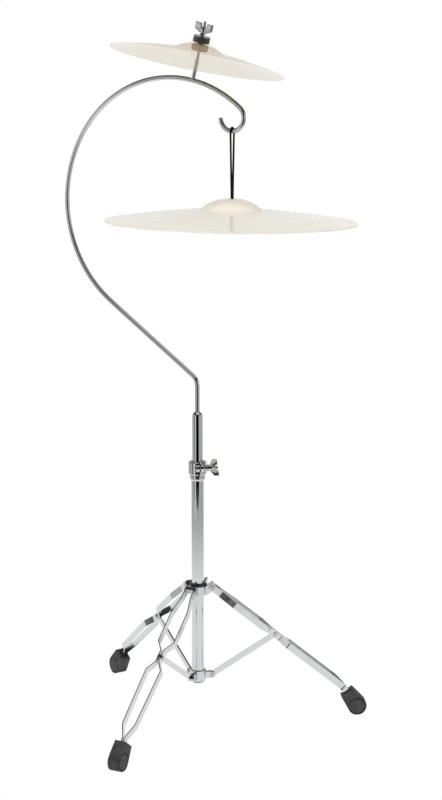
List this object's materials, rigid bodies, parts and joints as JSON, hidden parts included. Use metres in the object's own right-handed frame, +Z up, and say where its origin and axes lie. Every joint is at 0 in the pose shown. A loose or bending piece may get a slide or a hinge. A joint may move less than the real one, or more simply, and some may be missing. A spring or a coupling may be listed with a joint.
{
  "type": "gooseneck cymbal stand",
  "caption": "Folding tripod stand with a bent gooseneck arm, a cymbal on a tilted post and a larger cymbal hung from the arm's hook on a cord.",
  "frame": {"origin": "where the column's axis meets the floor", "axes": "+Z up the column; the arm lies in the XZ plane with its hook on the +X side"},
  "size_m": [0.6594, 0.6128, 1.4461],
  "materials": {
    "chrome_tube": "bright chrome plate on steel tube",
    "chrome_strip": "chrome-plated flat steel",
    "chrome_casting": "chrome-plated zinc casting",
    "zinc_fastener": "nickel-plated steel fastener",
    "rubber": "black moulded rubber",
    "nylon": "black moulded nylon",
    "felt": "pressed wool felt",
    "cord": "braided black cord",
    "cymbal_top": "pale polished finish, lathed",
    "cymbal_hung": "pale polished finish, lathed"
  },
  "bodies": {
    "base": {"base_tube": "chrome_tube", "tube_plug": "nylon", "brace_bracket": "chrome_casting", "brace_pins": "zinc_fastener", "height_clamp": "chrome_casting", "clamp_bolt": "zinc_fastener", "clamp_spacer": "zinc_fastener"},
    "clamp_nut": {"clamp_wing_nut": "zinc_fastener"},
    "collar": {"leg_collar": "chrome_casting", "collar_bush": "nylon", "leg_rivets": "zinc_fastener"},
    "lock_bolt": {"leg_lock_bolt": "zinc_fastener"},
    "leg_1": {"leg_1_right_strip": "chrome_strip", "leg_1_left_strip": "chrome_strip", "leg_1_waist_rivet": "zinc_fastener", "leg_1_foot": "rubber"},
    "brace_1": {"brace_1": "chrome_strip"},
    "leg_2": {"leg_2_right_strip": "chrome_strip", "leg_2_left_strip": "chrome_strip", "leg_2_waist_rivet": "zinc_fastener", "leg_2_foot": "rubber"},
    "brace_2": {"brace_2": "chrome_strip"},
    "leg_3": {"leg_3_right_strip": "chrome_strip", "leg_3_left_strip": "chrome_strip", "leg_3_waist_rivet": "zinc_fastener", "leg_3_foot": "rubber"},
    "brace_3": {"brace_3": "chrome_strip"},
    "guide": {"guide_bush": "nylon"},
    "mast": {"upper_tube": "chrome_tube", "gooseneck": "chrome_tube", "cymbal_post": "chrome_tube", "seat_sleeve": "nylon", "top_washer": "zinc_fastener"},
    "post_nut": {"cymbal_wing_nut": "zinc_fastener"},
    "felts": {"lower_felt": "felt", "upper_felt": "felt"},
    "top_cymbal": {"upper_cymbal": "cymbal_top"},
    "strap": {"strap": "cord", "strap_knot": "cord"},
    "strap_pad": {"strap_pad": "felt"},
    "hung_cymbal": {"lower_cymbal": "cymbal_hung"}
  },
  "joints": [
    {"name": "collar_slide", "type": "slide", "parent": "base", "child": "collar", "axis": [0, 0, 1], "range_m": [0, 0.13589]},
    {"name": "leg_1_fold", "type": "hinge", "parent": "collar", "child": "leg_1", "pos_m": [0.02552, 0.0167, 0.2845], "axis": [-0.5476, 0.8368, 0], "range_deg": [0, 48.43]},
    {"name": "brace_1_fold", "type": "hinge", "parent": "base", "child": "brace_1", "pos_m": [0.02485, 0.01626, 0.0925], "axis": [0.5476, -0.8368, 0], "range_deg": [0, 53.62]},
    {"name": "leg_2_fold", "type": "hinge", "parent": "collar", "child": "leg_2", "pos_m": [-0.02722, 0.01375, 0.2845], "axis": [-0.4509, -0.8926, 0], "range_deg": [0, 48.43]},
    {"name": "brace_2_fold", "type": "hinge", "parent": "base", "child": "brace_2", "pos_m": [-0.02651, 0.01339, 0.0925], "axis": [0.4509, 0.8926, 0], "range_deg": [0, 53.62]},
    {"name": "leg_3_fold", "type": "hinge", "parent": "collar", "child": "leg_3", "pos_m": [0.0017, -0.03045, 0.2845], "axis": [0.9984, 0.0558, 0], "range_deg": [0, 48.43]},
    {"name": "brace_3_fold", "type": "hinge", "parent": "base", "child": "brace_3", "pos_m": [0.00166, -0.02965, 0.0925], "axis": [-0.9984, -0.0558, 0], "range_deg": [0, 53.62]},
    {"name": "leg_lock_turn", "type": "hinge", "parent": "collar", "child": "lock_bolt", "pos_m": [0, 0, 0.278], "axis": [-0.0558, 0.9984, 0], "range_deg": [-360, 0]},
    {"name": "clamp_nut_turn", "type": "hinge", "parent": "base", "child": "clamp_nut", "pos_m": [0.01606, -0.01784, 0.544], "axis": [0.7431, 0.6691, 0], "range_deg": [0, 360]},
    {"name": "mast_swivel", "type": "hinge", "parent": "base", "child": "guide", "pos_m": [0, 0, 0.5545], "axis": [0, 0, 1], "continuous": true},
    {"name": "mast_height", "type": "slide", "parent": "guide", "child": "mast", "axis": [0, 0, 1], "range_m": [-0.085, 0.18]},
    {"name": "post_nut_turn", "type": "hinge", "parent": "mast", "child": "post_nut", "pos_m": [0.02042, 0, 1.44482], "axis": [0.247, 0, 0.969], "range_deg": [0, 360]},
    {"name": "top_cymbal_spin", "type": "hinge", "parent": "mast", "child": "felts", "pos_m": [0.00936, 0, 1.40141], "axis": [0.247, 0, 0.969], "continuous": true},
    {"name": "top_cymbal_rock", "type": "hinge", "parent": "felts", "child": "top_cymbal", "pos_m": [0.0095, 0, 1.40199], "axis": [0, 1, 0], "range_deg": [-1.6, 5.4]},
    {"name": "strap_swing", "type": "hinge", "parent": "mast", "child": "strap", "pos_m": [0.0819, 0, 1.23127], "axis": [1, 0, 0], "range_deg": [-25, 25]},
    {"name": "hung_cymbal_spin", "type": "hinge", "parent": "strap", "child": "strap_pad", "pos_m": [0.0807, 0, 1.0985], "axis": [0, 0, 1], "continuous": true},
    {"name": "hung_cymbal_tilt", "type": "hinge", "parent": "strap_pad", "child": "hung_cymbal", "pos_m": [0.0807, 0, 1.09775], "axis": [0, 1, 0], "range_deg": [-8, 8]}
  ],
  "couplings": [
    {"joint": "leg_1_fold", "follows": "collar_slide", "rad_per_m": 6.1562},
    {"joint": "brace_1_fold", "follows": "collar_slide", "rad_per_m": 6.8224},
    {"joint": "leg_2_fold", "follows": "collar_slide", "rad_per_m": 6.1562},
    {"joint": "brace_2_fold", "follows": "collar_slide", "rad_per_m": 6.8224},
    {"joint": "leg_3_fold", "follows": "collar_slide", "rad_per_m": 6.1562},
    {"joint": "brace_3_fold", "follows": "collar_slide", "rad_per_m": 6.8224}
  ]
}
